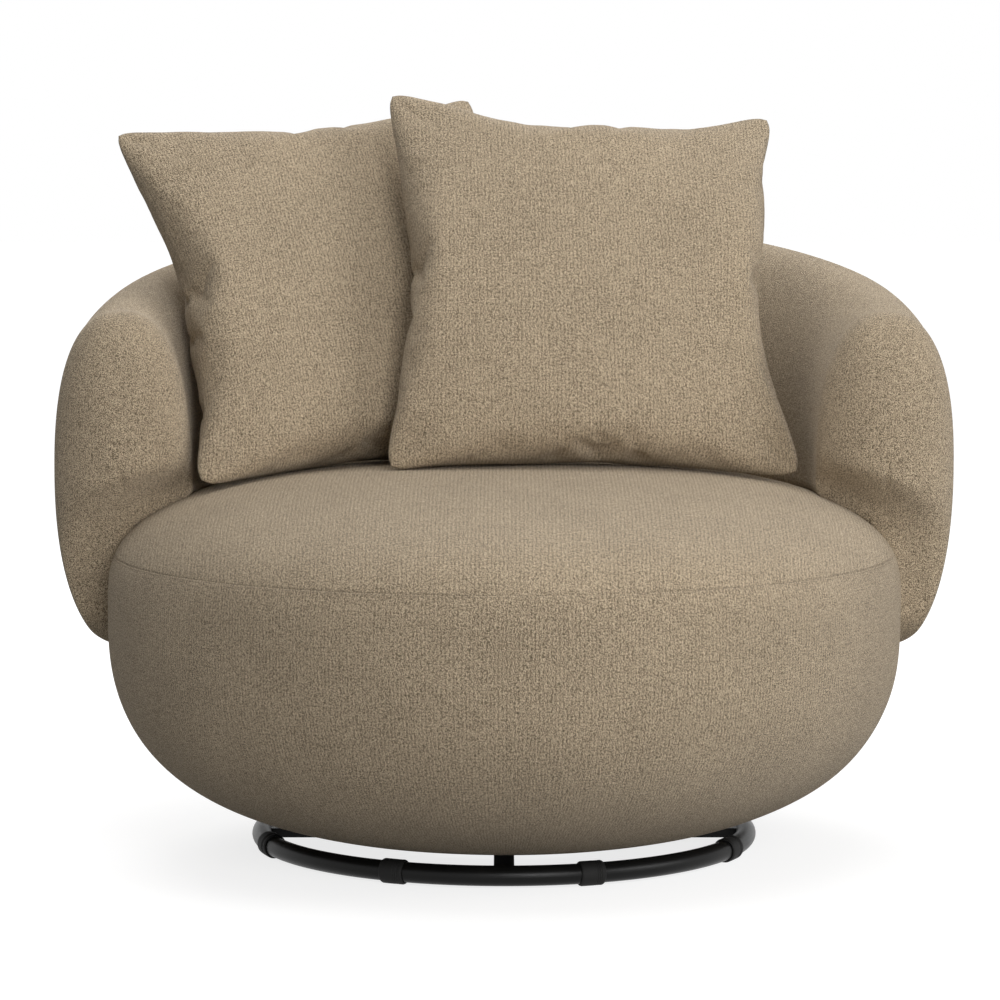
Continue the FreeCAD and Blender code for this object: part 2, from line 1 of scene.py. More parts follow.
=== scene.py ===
import math
import bpy
import numpy as np
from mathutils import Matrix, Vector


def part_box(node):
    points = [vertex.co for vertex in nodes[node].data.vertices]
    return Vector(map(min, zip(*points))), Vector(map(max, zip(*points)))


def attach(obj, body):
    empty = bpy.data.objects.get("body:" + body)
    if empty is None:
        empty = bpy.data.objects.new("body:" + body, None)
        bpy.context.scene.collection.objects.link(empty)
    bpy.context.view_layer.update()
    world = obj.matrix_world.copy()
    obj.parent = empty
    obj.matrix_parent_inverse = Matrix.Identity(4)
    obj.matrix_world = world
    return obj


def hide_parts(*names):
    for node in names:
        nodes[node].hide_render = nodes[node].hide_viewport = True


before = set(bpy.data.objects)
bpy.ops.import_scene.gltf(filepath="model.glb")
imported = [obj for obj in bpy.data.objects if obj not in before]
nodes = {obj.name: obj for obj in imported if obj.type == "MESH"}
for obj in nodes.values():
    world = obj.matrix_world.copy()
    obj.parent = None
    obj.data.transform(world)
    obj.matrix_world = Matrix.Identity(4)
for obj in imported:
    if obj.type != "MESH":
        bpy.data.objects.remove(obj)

bpy.context.scene.view_settings.view_transform = "Standard"
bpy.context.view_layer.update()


# The studio: a camera with a long lens, a little above the crest of the back and tipped
# down at the chair, and large soft lamps over a plain white floor. Two of them stand low
# at the front right, so the left flank of the seat falls into shade.

camera = bpy.data.objects.new("camera", bpy.data.cameras.new("camera"))
camera.data.lens = 137.95
camera.data.sensor_width = 36.0
camera.data.shift_x = -0.004
camera.data.clip_end = 100.0
camera.location = (0.0, -4.875, 0.895)
camera.rotation_euler = (math.radians(90 - 5.31), 0.0, 0.0)
bpy.context.scene.collection.objects.link(camera)
bpy.context.scene.camera = camera


def soft_lamp(name, place, target, size, power):
    """A square area lamp of that size in metres at a place, turned towards a target."""
    data = bpy.data.lights.new(name, "AREA")
    data.size = size
    data.energy = power
    lamp = bpy.data.objects.new(name, data)
    bpy.context.scene.collection.objects.link(lamp)
    aim = np.array(target, float) - np.array(place, float)
    flat = math.hypot(aim[0], aim[1])
    lamp.rotation_euler = (math.atan2(flat, -aim[2]), 0.0, math.atan2(-aim[0], aim[1]))
    lamp.location = place


soft_lamp("front_lamp", (1.3, -4.5, 1.6), (0.0, 0.0, 0.45), 1.8, 93.0)
soft_lamp("side_lamp", (3.5, -1.7, 1.6), (0.0, 0.0, 0.45), 2.0, 66.0)
soft_lamp("overhead_lamp", (0.0, -0.3, 3.6), (0.0, 0.0, 0.45), 3.0, 66.0)
soft_lamp("rear_lamp", (-1.0, 2.8, 2.6), (0.0, 0.0, 0.6), 2.0, 66.0)


class Value:
    """A shader socket that takes part in sums: each operator adds one Math node."""

    def __init__(self, finish, socket):
        self.finish, self.socket = finish, socket

    def __add__(self, other):
        return self.finish.maths("ADD", self, other)

    def __radd__(self, other):
        return self.finish.maths("ADD", other, self)

    def __sub__(self, other):
        return self.finish.maths("SUBTRACT", self, other)

    def __rsub__(self, other):
        return self.finish.maths("SUBTRACT", other, self)

    def __mul__(self, other):
        return self.finish.maths("MULTIPLY", self, other)

    def __rmul__(self, other):
        return self.finish.maths("MULTIPLY", other, self)


class Finish:
    """The nodes of a material or a world. node() adds one: its settings, then its inputs."""

    def __init__(self, owner):
        self.owner = owner
        owner.use_nodes = True
        self.tree = owner.node_tree
        self.tree.nodes.clear()

    def node(self, kind, settings, inputs, out=0):
        made = self.tree.nodes.new(kind)
        for key, value in settings.items():
            setattr(made, key, value)
        for key, value in inputs.items():
            if isinstance(value, Value):
                self.tree.links.new(value.socket, made.inputs[key])
            else:
                made.inputs[key].default_value = value
        return Value(self, made.outputs[out]) if made.outputs else None

    def maths(self, operation, *values):
        return self.node("ShaderNodeMath", {"operation": operation}, dict(enumerate(values)))

    def noise(self, place, scale, detail=2.0, roughness=0.5):
        """Clouds from 0 to 1 whose patches are about 1 / scale across."""
        inputs = {"Vector": place, "Scale": scale, "Detail": detail, "Roughness": roughness}
        return self.node("ShaderNodeTexNoise", {}, inputs, "Fac")

    def stretched(self, place, scales):
        """A place with its coordinates multiplied, for a pattern that is longer one way."""
        settings = {"operation": "MULTIPLY"}
        return self.node("ShaderNodeVectorMath", settings, {0: place, 1: scales}, "Vector")

    def blend(self, share, first, second):
        """Colour between two, by a share from 0 to 1. A colour is three shares or a Value."""
        first, second = [c if isinstance(c, Value) else (*c, 1) for c in (first, second)]
        settings = {"data_type": "RGBA", "clamp_factor": True}
        return self.node("ShaderNodeMix", settings, {"Factor": share, 6: first, 7: second}, 2)

    def band(self, distance, width):
        """1 where a distance is 0, falling smoothly to 0 at a width on either side."""
        inputs = {"Value": self.maths("ABSOLUTE", distance), "From Min": 0.0, "From Max": width,
                  "To Min": 1.0, "To Max": 0.0}
        settings = {"interpolation_type": "SMOOTHSTEP"}
        return self.node("ShaderNodeMapRange", settings, inputs, "Result")

    def object_place(self):
        return self.node("ShaderNodeTexCoord", {}, {}, "Object")

    def raised(self, height, strength, distance):
        inputs = {"Height": height, "Strength": strength, "Distance": distance}
        return self.node("ShaderNodeBump", {}, inputs, "Normal")

    def finished(self, inputs):
        """The material, with one principled shader that has these inputs."""
        return self.shown_by(self.node("ShaderNodeBsdfPrincipled", {}, inputs, "BSDF"))

    def shown_by(self, shader, output_kind="ShaderNodeOutputMaterial"):
        """The material or world, with a shader as its surface."""
        self.node(output_kind, {}, {"Surface": shader})
        return self.owner


def is_seen(finish):
    """1 on rays from the camera, or seen in a gloss or through glass."""
    camera_ray, glossy_ray, through_ray = [
        finish.node("ShaderNodeLightPath", {}, {}, ray)
        for ray in ("Is Camera Ray", "Is Glossy Ray", "Is Transmission Ray")]
    return finish.maths("MAXIMUM", finish.maths("MAXIMUM", camera_ray, glossy_ray), through_ray)


def white_floor():
    """Matt floor that shows white: its own glow is a little less near the chair, which keeps
    a soft shadow there, and it lights nothing."""
    f = Finish(bpy.data.materials.new("white_floor"))
    matt = f.node("ShaderNodeBsdfDiffuse", {}, {"Color": (0.32, 0.32, 0.32, 1)}, "BSDF")
    away = f.node("ShaderNodeVectorMath", {"operation": "LENGTH"}, {0: f.object_place()}, "Value")
    level = is_seen(f) * (1.0 - f.band(away, 3.0) * 0.22)
    glow = f.node("ShaderNodeEmission", {}, {"Color": (1, 1, 1, 1), "Strength": level}, "Emission")
    return f.shown_by(f.node("ShaderNodeAddShader", {}, {0: matt, 1: glow}, "Shader"))


def white_sky():
    """Even dim light all round that shows white."""
    f = Finish(bpy.data.worlds.new("studio"))
    level = 0.235 + is_seen(f) * 0.765
    glow = f.node("ShaderNodeBackground", {}, {"Color": (1, 1, 1, 1), "Strength": level})
    return f.shown_by(glow, "ShaderNodeOutputWorld")


floor_mesh = bpy.data.meshes.new("floor")
floor_mesh.from_pydata([(-14, -9, 0), (14, -9, 0), (14, 30, 0), (-14, 30, 0)], [], [(0, 1, 2, 3)])
floor_mesh.materials.append(white_floor())
floor = bpy.data.objects.new("floor", floor_mesh)
bpy.context.scene.collection.objects.link(floor)
bpy.context.scene.world = white_sky()


# Base ring and cross bars: steel tube, bent into a circle and welded, with flat tube bars
# coped against it. All of it has a satin black powder coat with a fine orange peel.

def powder_coat(name):
    """Satin paint: fine peel in the bump, a little dust in the roughness."""
    f = Finish(bpy.data.materials.new(name))
    place = f.object_place()
    peel = f.noise(place, 900.0)
    dust = f.noise(place, 30.0, 3.0)
    shade = f.blend(dust, (0.0045, 0.0045, 0.00435), (0.0078, 0.0078, 0.00754))
    return f.finished({"Base Color": shade, "Roughness": 0.27 + dust * 0.12,
                       "Normal": f.raised(peel, 0.25, 0.0004), "Specular IOR Level": 0.17})


def dress(finish, *names):
    """Gives a CAD node's own mesh a finish."""
    for name in names:
        mesh = nodes[name].data
        mesh.materials.clear()
        mesh.materials.append(finish)


dress(powder_coat("black_tube"), "base_ring")
dress(powder_coat("black_bar"), "cross_bar_long", "cross_bar_front", "cross_bar_rear")


# Rubber sleeves: moulded matte black rubber, slid over the ring's tube, bevelled at both
# ends, with a collar of fine grooves towards one end and a flat where they meet the floor.

sleeve_count = 8
sleeve_ring_radius = 0.311
sleeve_length = 0.0298
sleeve_outer = 0.0152
sleeve_inner = 0.0127
sleeve_first = math.radians(19.7)
sleeve_level = 0.01508
bevel_share = 0.07
bevel_depth = 0.0011
groove_count = 3
groove_start = 0.60
groove_span = 0.24
groove_depth = 0.00055


def skin(name, points, cloth=None, seam=None, wrap_rows=False, poles=()):
    """Mesh over a grid of points whose rows are closed rings. Wrapped rows join the last ring
    to the first, or else two poles close the ends with fans. cloth holds the weave's
    coordinates with one more line on each wrapped side, and seam each point's distance
    from the nearest seam."""
    rows, columns = points.shape[:2]
    c = np.arange(columns)
    r = np.arange(rows if wrap_rows else rows - 1)
    row, column = [g.ravel() for g in np.meshgrid(r, c, indexing="ij")]
    corner_rows = np.stack([row, row, row + 1, row + 1], axis=1)
    corner_columns = np.stack([column, column + 1, column + 1, column], axis=1)
    faces = ((corner_rows % rows) * columns + corner_columns % columns).tolist()
    vertices = np.vstack([points.reshape(-1, 3), *poles])
    if cloth is not None:
        corners = [cloth[corner_rows, corner_columns].reshape(-1, 2)]
    for number, line in zip(range(len(poles)), (0, rows - 1)):
        tip = np.full_like(c, rows * columns + number)
        sides = (c + 1, c) if line == 0 else (c, c + 1)
        ring = [line * columns + side % columns for side in sides]
        faces += np.stack([tip, *ring], axis=1).tolist()
        if cloth is not None:
            middle = (cloth[line, c] + cloth[line, c + 1]) / 2
            fan = np.stack([middle, *[cloth[line, side] for side in sides]], axis=1)
            corners.append(fan.reshape(-1, 2))
    mesh = bpy.data.meshes.new(name)
    mesh.from_pydata(vertices.tolist(), [], faces)
    if cloth is not None:
        layer = mesh.uv_layers.new(name="cloth")
        layer.data.foreach_set("uv", np.vstack(corners).astype("f").ravel())
    if seam is not None:
        gaps = np.r_[seam.ravel(), np.ones(len(poles))].astype("f")
        mesh.attributes.new("seam", "FLOAT", "POINT").data.foreach_set("value", gaps)
    mesh.calc_loop_triangles()
    triangles = np.empty(3 * len(mesh.loop_triangles), dtype="i")
    mesh.loop_triangles.foreach_get("vertices", triangles)
    first, second, third = vertices[triangles.reshape(-1, 3)].transpose(1, 0, 2)
    if np.einsum("ij,ij->", first, np.cross(second, third)) < 0:
        mesh.flip_normals()
    mesh.shade_smooth()
    made = bpy.data.objects.new(name, mesh)
    bpy.context.scene.collection.objects.link(made)
    return made


def moulded_rubber(name):
    """Matte black rubber with a faint grain and a paler bloom of dust."""
    f = Finish(bpy.data.materials.new(name))
    place = f.object_place()
    grain = f.noise(place, 1400.0)
    bloom = f.noise(place, 60.0, 3.0)
    shade = f.blend(bloom, (0.006, 0.006, 0.006), (0.013, 0.0125, 0.012))
    return f.finished({"Base Color": shade, "Roughness": 0.62 + bloom * 0.16,
                       "Specular IOR Level": 0.25, "Normal": f.raised(grain, 0.3, 0.0003)})


def ridged_sleeve(number):
    """Ring of radius r(s) swept along the bent tube, s being the share from end to end: r
    drops at both bevelled ends and dips as a cosine in fine grooves, and the underside is
    held at the floor. The bore closes it."""
    share = np.r_[0.0, 0.02, 0.07, np.linspace(0.10, 0.56, 8), np.linspace(0.58, 0.86, 50),
                  0.90, 0.94, 0.98, 1.0]
    bevel = np.clip(np.minimum(share, 1 - share) / bevel_share, 0, 1)
    grooved = np.clip((share - groove_start) / groove_span, 0, 1)
    grooves = 0.5 - 0.5 * np.cos(2 * np.pi * grooved * groove_count)
    outer = sleeve_outer - bevel_depth * (1 - bevel) ** 1.5 - groove_depth * grooves
    radius = np.r_[outer, np.full(4, sleeve_inner)]
    along = np.r_[share, 1.0, 0.66, 0.33, 0.0] - 0.5
    turn = np.linspace(0, 2 * np.pi, 64, endpoint=False)
    middle = sleeve_first + 2 * np.pi / sleeve_count * number
    plan = middle + along[:, None] * sleeve_length / sleeve_ring_radius + 0 * turn
    reach = sleeve_ring_radius + radius[:, None] * np.cos(turn)
    height = sleeve_level + radius[:, None] * np.sin(turn)
    points = np.stack([reach * np.cos(plan), reach * np.sin(plan), np.maximum(height, 0.0)], 2)
    return skin("rubber_sleeve_%d" % (number + 1), points, wrap_rows=True)


rubber = moulded_rubber("sleeve_rubber")
for number in range(sleeve_count):
    sleeve = ridged_sleeve(number)
    sleeve.data.materials.append(rubber)
    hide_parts("glide_%d" % (number + 1))
    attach(sleeve, "base")


# Swivel: two pressed and zinc-plated steel plates with a race of steel balls in a nylon
# cage, screwed to the bars below and to the base board above.

def plated_steel(name, colour, roughness):
    """Zinc plate: brushing in the roughness and the bump, and faint clouds in the colour."""
    f = Finish(bpy.data.materials.new(name))
    place = f.object_place()
    clouds = f.noise(place, 45.0, 4.0)
    brushing = f.noise(f.stretched(place, (1500.0, 60.0, 1500.0)), 1.0)
    shade = f.blend(clouds, [c * 0.8 for c in colour], colour)
    return f.finished({"Base Color": shade, "Metallic": 1.0,
                       "Roughness": roughness + brushing * 0.15,
                       "Normal": f.raised(brushing, 0.15, 0.0002)})


def moulded_nylon(name):
    """Dark nylon with a fine grain."""
    f = Finish(bpy.data.materials.new(name))
    grain = f.noise(f.object_place(), 700.0)
    shade = f.blend(grain, (0.018, 0.018, 0.019), (0.03, 0.03, 0.031))
    return f.finished({"Base Color": shade, "Roughness": 0.5,
                       "Normal": f.raised(grain, 0.2, 0.0003)})


dress(plated_steel("zinc_plate", (0.66, 0.67, 0.68), 0.30), "swivel_lower_plate",
      "swivel_upper_plate", "lower_bolts", "lower_nuts", "upper_bolts", "tee_nuts",
      "back_bolts", "barrel_nuts")
dress(plated_steel("polished_balls", (0.80, 0.80, 0.81), 0.05), "bearing_balls")
dress(moulded_nylon("cage_nylon"), "ball_cage")


# Frame inside the upholstery: birch plywood board, ribs, rings, rails and posts, a bent
# hardboard panel, and woven elastic webbing stapled across them.

def sawn_wood(name, pale, dark, ply):
    """Plywood: long grain over layers, ply of them to a metre, or a board with broad ones."""
    f = Finish(bpy.data.materials.new(name))
    place = f.object_place()
    grain = f.noise(f.stretched(place, (14.0, 160.0, 40.0)), 1.0, 5.0, 0.6)
    layers = f.noise(f.stretched(place, (1.0, 1.0, ply)), 1.0, 0.0)
    shade = f.blend(0.6 * grain + 0.4 * layers, dark, pale)
    return f.finished({"Base Color": shade, "Roughness": 0.62 + grain * 0.2,
                       "Normal": f.raised(grain, 0.3, 0.0004)})


def woven_strap(name):
    """Webbing: slanting cords, darker between them."""
    f = Finish(bpy.data.materials.new(name))
    place = f.object_place()
    cords = f.node("ShaderNodeTexWave", {"bands_direction": "DIAGONAL"},
                   {"Vector": place, "Scale": 160.0, "Distortion": 1.5, "Detail": 1.0}, "Fac")
    shade = f.blend(cords, (0.012, 0.009, 0.008), (0.05, 0.036, 0.03))
    return f.finished({"Base Color": shade, "Roughness": 0.85,
                       "Normal": f.raised(cords, 0.5, 0.0006)})


plywood = sawn_wood("birch_plywood", (0.62, 0.45, 0.25), (0.40, 0.26, 0.13), 420.0)
dress(plywood, "seat_base_board", "seat_top_ring", "back_bottom_rail", "back_top_rail",
      *["seat_rib_%d" % k for k in range(1, 9)], *["back_post_%d" % k for k in range(1, 6)])
dress(sawn_wood("hardboard", (0.20, 0.11, 0.055), (0.13, 0.07, 0.035), 20.0), "back_panel")
dress(woven_strap("webbing"), "webbing_lengthwise", "webbing_across", "back_straps")


# Seat side band: oat-coloured fabric with fine irregular ribs, drawn over foam from the
# edge of the base board up to the seam. It is closed on its inside, where the foam ends.

seat_axis_y = -0.035
seat_radius = 0.502
seat_widest = 0.321
seat_crest = 0.489
seat_lowest = 0.0199
seat_fullness_below = 2.83
seat_fullness_above = 2.88
seam_height = 0.381
board_radius = 0.190
front_seam_turn = 41.5
around = 360


def oat_weave(name):
    """Crepe weave in metres of cloth: ribs 4.7 mm apart, crossed more faintly at 4.4 mm, that
    wander and break up, over slubs along them. The uneven yarns with their gaps are
    noise through the whole piece, so they keep their size everywhere. All of it is in both
    colour and bump, and the colour follows the height: the yarns' own uneven tone, with
    painted shade in the hollows and painted light on the tops. Where "plain" is 1 the ribs
    fade. A seam is a soft line of painted shade in its crease, over a dip in the bump."""
    f = Finish(bpy.data.materials.new(name))
    cloth = f.node("ShaderNodeAttribute", {"attribute_name": "cloth"}, {}, "Vector")
    seam = f.node("ShaderNodeAttribute", {"attribute_name": "seam"}, {}, "Fac")
    plain = f.node("ShaderNodeAttribute", {"attribute_name": "plain"}, {}, "Fac")
    across = f.node("ShaderNodeSeparateXYZ", {}, {"Vector": cloth}, "X")
    along = f.node("ShaderNodeSeparateXYZ", {}, {"Vector": cloth}, "Y")
    wander = f.noise(cloth, 120.0)
    warp = f.maths("COSINE", across * (2 * math.pi / 0.0047) + wander * 7.0)
    weft = f.maths("COSINE", along * (2 * math.pi / 0.0044) + wander * 9.0)
    broken = f.noise(f.stretched(cloth, (260.0, 70.0, 260.0)), 1.0, 1.0)
    ribs = (warp * broken * 1.1 + weft * 0.22) * (1 - plain)
    yarns = f.noise(f.stretched(f.object_place(), (880.0, 880.0, 760.0)), 1.0, 1.0, 0.6)
    slubs = f.noise(f.stretched(cloth, (520.0, 170.0, 520.0)), 1.0, 1.0)
    clouds = f.noise(cloth, 9.0)
    height = ribs * 0.21 + yarns * 3.5 + slubs * 0.45 - 1.475
    line = f.band(seam, 0.0012)
    valley = f.band(seam, 0.0060)
    # The colour follows the weave's height: the yarns' own uneven tone, plus painted shade in the
    # hollows and painted light on the raised ribs and yarns.
    lit = height * 0.95 + clouds * 0.20 - 0.075
    shade = f.blend(lit, (0.110, 0.084, 0.052), (0.612, 0.490, 0.340))
    # Painted shade: the seam's crease is drawn as a faint darker line in the colour.
    shade = f.blend(line * 0.08, shade, (0.085, 0.062, 0.040))
    folds = height - valley * 0.3 - line * 0.1
    return f.finished({"Base Color": shade, "Roughness": 0.86 + slubs * 0.1,
                       "Sheen Weight": 0.12, "Sheen Roughness": 0.5,
                       "Specular IOR Level": 0.15, "Normal": f.raised(folds, 0.6, 0.0011)})


def seat_outline(turn):
    """Superellipse of the drum: turn is -90 at the bottom, 0 widest and 90 at the crest."""
    below = turn < 0
    a = np.radians(turn)
    fullness = np.where(below, seat_fullness_below, seat_fullness_above)
    rise = np.where(below, seat_widest - seat_lowest, seat_crest - seat_widest)
    reach = seat_radius * np.abs(np.cos(a)) ** (2 / fullness)
    return reach, seat_widest + rise * np.sign(a) * np.abs(np.sin(a)) ** (2 / fullness)


def evenly(x, y, spots):
    """Points of a line at given shares of its length, and the length up to each."""
    length = np.r_[0, np.cumsum(np.hypot(np.diff(x), np.diff(y)))]
    where = spots * length[-1]
    return np.interp(where, length, x), np.interp(where, length, y), where


plan = np.linspace(0, 2 * np.pi, around, endpoint=False) + np.pi / 2
wrap_plan = np.r_[plan, plan[0] + 2 * np.pi]


def turned_seat(reach, level):
    """An outline of reach and level turned about the seat's axis, a little uneven as drawn
    cloth is: two waves of about half a millimetre round it, less towards the middle."""
    reach, level = reach[:, None], level[:, None]
    uneven = 0.0005 * np.sin(5 * plan + 1.3) + 0.0004 * np.sin(9 * plan + 40 * level)
    wide = reach + uneven * np.clip(reach / 0.3, 0, 1)
    x, y = wide * np.cos(plan), wide * np.sin(plan) + seat_axis_y
    return np.stack([x, y, level + 0 * plan], axis=2)


def turned_under(length):
    """How far the cloth dips at that length from the seam, where its edge is turned under."""
    return 0.0002 * np.exp(-(length / 0.004) ** 2)


band_first = -math.degrees(math.acos((board_radius / seat_radius) ** (seat_fullness_below / 2)))
seam_share = (seam_height - seat_widest) / (seat_crest - seat_widest)
seam_turn = math.degrees(math.asin(seam_share ** (seat_fullness_above / 2)))
near_seam = 1 - np.array([0.030, 0.022, 0.016, 0.011, 0.007, 0.004, 0.002, 0.0])
foam_thick = 0.022


def band_surface():
    """The band's rings, its weave and each point's distance from a seam: up the outside to
    the seam, then down the foam's inside, a thickness square to the outline away. The band
    has a seam at the rear and one front_seam_turn degrees to each side of the front."""
    spots = np.r_[np.linspace(0, 0.96, 84), near_seam]
    reach, level, run = evenly(*seat_outline(np.linspace(band_first, seam_turn, 900)), spots)
    top = run[-1]
    inner_reach, inner_level, inner_run = evenly(reach, level, np.linspace(1, 0, 26))
    slope_reach, slope_level = np.gradient(inner_reach), np.gradient(inner_level)
    steps = foam_thick / np.hypot(slope_reach, slope_level)
    inner_reach = np.maximum(inner_reach - steps * np.abs(slope_level), board_radius)
    inner_level = np.minimum(inner_level + steps * np.abs(slope_reach), seam_height - 0.0004)
    reach = np.r_[reach - turned_under(top - run), inner_reach]
    run = np.r_[run, top + 0.02 + top - inner_run]
    panel_seams = np.radians([-90 - front_seam_turn, -90 + front_seam_turn, 90]) + 1e-3
    gap = np.abs((plan[:, None] - panel_seams + np.pi) % (2 * np.pi) - np.pi).min(axis=1)
    seam = np.minimum(gap * reach[:, None], np.abs(run - top)[:, None])
    wrap_run = np.r_[run, run[-1] + 0.02]
    cloth = np.stack(np.meshgrid(wrap_plan * seat_radius, wrap_run), axis=2)
    return turned_seat(reach, np.r_[level, inner_level]), cloth, seam


seat_band = skin("seat_band", *band_surface(), wrap_rows=True)
oat = oat_weave("oat_weave")
seat_band.data.materials.append(oat)
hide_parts("seat_cover_band", "seat_foam_side")
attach(seat_band, "seat")


# Seat top: one round panel of the same cloth over the crowned foam, its ribs running from
# front to back. It is sewn to the band all round, with the seam's edges turned under.

under_reach = np.array([0.02, 0.20, 0.40, 0.465, 0.4695, 0.4705])
under_level = np.array([0.3625, 0.3625, 0.3625, 0.3632, 0.368, 0.3800])


def top_surface():
    """The top's rings, its flat weave and each point's distance from the seam: out along the
    foam's flat underside, then over the crown from the seam to the middle."""
    spots = np.r_[1 - near_seam[::-1], np.linspace(0.04, 0.985, 60)]
    reach, level, run = evenly(*seat_outline(np.linspace(seam_turn, 90, 900)), spots)
    points = turned_seat(np.r_[under_reach, reach - turned_under(run)], np.r_[under_level, level])
    flat = np.r_[under_reach, reach][:, None]
    cloth = np.stack([flat * np.cos(wrap_plan), flat * np.sin(wrap_plan)], axis=2)
    seam = np.r_[np.full(under_reach.size, 0.02), run][:, None] + 0 * plan
    return points, cloth, seam


seat_top = skin("seat_top", *top_surface(),
                poles=[(0, seat_axis_y, under_level[0]), (0, seat_axis_y, seat_crest)])
seat_top.data.materials.append(oat)
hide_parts("seat_cover_top", "seat_foam_top")
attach(seat_top, "seat")


# Stitching of the seat's seam: two rows of thread in the cloth's colour, one on each side
# of the seam, that hold its edges flat.

stitch_length = 0.0034
stitch_pitch = 0.0052
stitch_radius = 0.00042
stitch_sides = 6


def thread_finish(name):
    """Thread in the cloth's colour, with its twist in light and dark."""
    f = Finish(bpy.data.materials.new(name))
    twist = f.noise(f.object_place(), 2200.0, 1.0)
    shade = f.blend(twist, (0.17, 0.13, 0.085), (0.31, 0.25, 0.17))
    return f.finished({"Base Color": shade, "Roughness": 0.7,
                       "Normal": f.raised(twist, 0.4, 0.0002)})


def stitch_row(name, turn):
    """Short capsules end to end round the seat: each is a ring of radius r sin(b) swept
    along its length as r cos(b), laid on the surface at one turn of the outline."""
    reach, level = seat_outline(np.array([turn - 0.05, turn, turn + 0.05]))
    up = np.array([reach[2] - reach[0], level[2] - level[0]])
    up /= np.hypot(*up)
    count = int(2 * np.pi * reach[1] / stitch_pitch)
    a = np.linspace(0, 2 * np.pi, count, endpoint=False)
    b = np.radians([25, 60, 90, 120, 155])
    c = np.linspace(0, 2 * np.pi, stitch_sides, endpoint=False)
    swell = stitch_radius * np.sin(b)[:, None] + 0 * c
    along = stitch_length / 2 * -np.cos(b)[:, None] + 0 * c
    out, rise = swell * np.cos(c), swell * np.sin(c)
    radial = reach[1] + out * up[1] + rise * up[0] + 0.0001
    height = level[1] + rise * up[1] - out * up[0]
    cos_a, sin_a = np.cos(a)[:, None, None], np.sin(a)[:, None, None]
    x = radial * cos_a - along * sin_a
    y = radial * sin_a + along * cos_a + seat_axis_y
    z = height + 0 * cos_a
    vertices = np.stack([x, y, z], axis=3).reshape(-1, 3)
    rings = np.arange(b.size * stitch_sides).reshape(b.size, stitch_sides)
    after = np.roll(rings, -1, axis=1)
    side = np.stack([rings[:-1], after[:-1], after[1:], rings[1:]], axis=2).reshape(-1, 4)
    ends = np.stack([rings[0, ::-1], rings[-1]])
    starts = (np.arange(count) * rings.size)[:, None, None]
    sides = (starts + side).reshape(-1, 4).tolist()
    caps = (starts + ends).reshape(-1, stitch_sides).tolist()
    mesh = bpy.data.meshes.new(name)
    mesh.from_pydata(vertices.tolist(), [], sides + caps)
    mesh.flip_normals()
    mesh.shade_smooth()
    made = bpy.data.objects.new(name, mesh)
    bpy.context.scene.collection.objects.link(made)
    return made


seam_thread = thread_finish("seam_thread")
for side, turn in (("below", seam_turn - 0.62), ("above", seam_turn + 0.62)):
    row = stitch_row("seat_stitches_" + side, turn)
    row.data.materials.append(seam_thread)
    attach(row, "seat")


# Horseshoe back: foam over the bent wooden frame, in one cover of the same cloth with a
# seam along its outer edge. It rises from the arms' rounded noses to the rear, leans out
# there, and its underside is hollowed where it wraps the drum.

back_middle = 0.4845
back_half = 0.0875
back_widest = 0.485
back_lowest = 0.259
arm_top = 0.686
back_top = 0.790
back_fullness_above = 2.39
back_fullness_below = 2.19
back_lean = math.tan(math.radians(5.8))
arm_end = -math.asin((0.058 + seat_axis_y) / back_middle)
seam_offset = back_half - 0.018
drawn_narrower = 0.993
nose_reach = 0.060
pressed_in = 0.0012
set_back_near = 0.84
set_back_low = 0.80
frame_front = -0.042


def eased(share):
    """Smooth step of a share from 0 to 1: three of its square less two of its cube."""
    share = np.clip(share, 0, 1)
    return share * share * (3 - 2 * share)


def drum_filled(reach, rise, pressed):
    """Superellipse of the seat drum with its surface drawn in by a depth: below 1 inside, 1
    on it and above 1 outside. Its fullness above or below the widest level comes second."""
    below = rise < 0
    fullness = np.where(below, seat_fullness_below, seat_fullness_above)
    tall = np.where(below, seat_widest - seat_lowest, seat_crest - seat_widest) - pressed
    filled = (reach / (seat_radius - pressed)) ** fullness + (np.abs(rise) / tall) ** fullness
    return filled, fullness


def outside_drum(points):
    """Points inside the seat drum move out from its middle to just under its surface, which
    they press into. In front of its axis, points first move back the nearer they are to the
    drum's outline as seen from the front, and the lower they are, so that the noses lie
    close behind its sides and shoulders, but they stay ahead of the frame's front end."""
    x, y, z = np.moveaxis(points, 2, 0)
    rise = z - seat_widest
    near = eased((1.80 - drum_filled(np.abs(x), rise, 0.0)[0]) / 0.76)
    low = eased((0.47 - z) / 0.20)
    beside = eased((np.abs(x) - 0.34) / 0.16)
    framed = np.clip((z - 0.262) / 0.045, 0, 1)
    hold = frame_front * beside * framed * (2 - framed)
    forward = y - seat_axis_y
    kept = (1 - set_back_near * near) * (1 - set_back_low * low)
    forward = np.where(forward < hold, hold + kept * (forward - hold), forward)
    filled, fullness = drum_filled(np.hypot(x, forward), rise, pressed_in)
    push = np.where(filled < 1, np.maximum(filled, 1e-6) ** (-1 / fullness), 1.0)
    return np.stack([x * push, seat_axis_y + forward * push, seat_widest + rise * push], axis=2)


